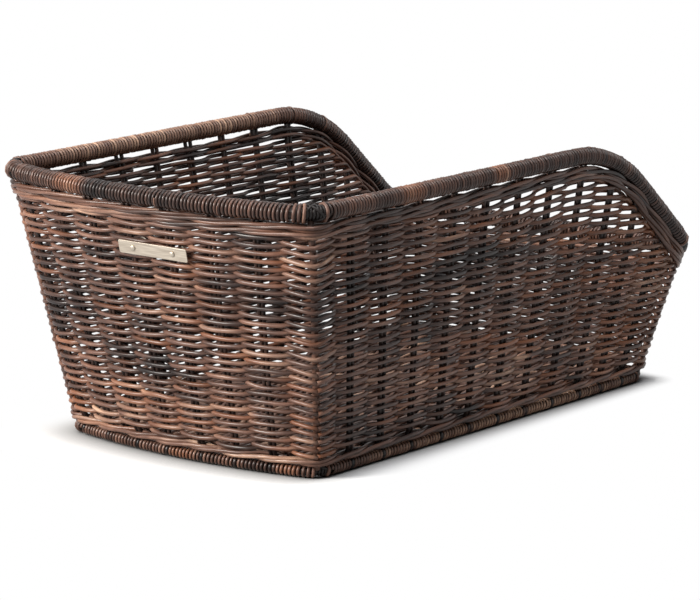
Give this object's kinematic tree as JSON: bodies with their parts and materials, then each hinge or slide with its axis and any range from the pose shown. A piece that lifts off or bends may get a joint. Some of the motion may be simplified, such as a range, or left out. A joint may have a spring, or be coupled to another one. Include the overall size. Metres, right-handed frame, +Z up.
{
  "type": "bicycle basket",
  "caption": "Dark woven rear-carrier basket with a high end, high sides that drop in a round shoulder to a low end, wound rims and a small bare plate.",
  "frame": {"origin": "on the ground, under the middle of the overall box", "axes": "+X towards the low end on the saddle side, +Y to the left of the bicycle, +Z up"},
  "size_m": [0.4838, 0.29, 0.198],
  "materials": {
    "winding": "satin dark brown synthetic cane with lighter turns",
    "lashing": "satin near-black synthetic cane",
    "weave": "satin mottled brown synthetic cane",
    "stake": "satin dark brown synthetic cane",
    "core": "plain cane pole, hidden",
    "plate": "pale brushed metal",
    "pin": "bare metal"
  },
  "bodies": {
    "root": {"top_rim_rod": "core", "base_rim_rod": "core", "rim_winding_back": "winding", "base_winding_back": "winding", "wall_weave_back": "weave", "rim_winding_front": "winding", "base_winding_front": "winding", "wall_weave_front": "weave", "rim_winding_left": "winding", "base_winding_left": "winding", "wall_weave_left": "weave", "rim_winding_right": "winding", "base_winding_right": "winding", "wall_weave_right": "weave", "rim_lashing_front_right": "lashing", "base_lashing_front_right": "lashing", "corner_post_front_right": "stake", "rim_lashing_front_left": "lashing", "base_lashing_front_left": "lashing", "corner_post_front_left": "stake", "rim_lashing_back_left": "lashing", "base_lashing_back_left": "lashing", "corner_post_back_left": "stake", "rim_lashing_back_right": "lashing", "base_lashing_back_right": "lashing", "corner_post_back_right": "stake", "cross_stake_1": "stake", "cross_stake_2": "stake", "cross_stake_3": "stake", "cross_stake_4": "stake", "cross_stake_5": "stake", "cross_stake_6": "stake", "cross_stake_7": "stake", "cross_stake_8": "stake", "cross_stake_9": "stake", "cross_stake_10": "stake", "cross_stake_11": "stake", "back_stake_1": "stake", "back_stake_2": "stake", "back_stake_3": "stake", "back_stake_4": "stake", "back_stake_5": "stake", "back_stake_6": "stake", "back_stake_7": "stake", "front_stake_1": "stake", "front_stake_2": "stake", "front_stake_3": "stake", "front_stake_4": "stake", "front_stake_5": "stake", "front_stake_6": "stake", "front_stake_7": "stake", "floor_weave": "weave", "plate": "plate", "plate_pin_1": "pin", "plate_washer_1": "pin", "plate_pin_2": "pin", "plate_washer_2": "pin"}
  },
  "joints": []
}
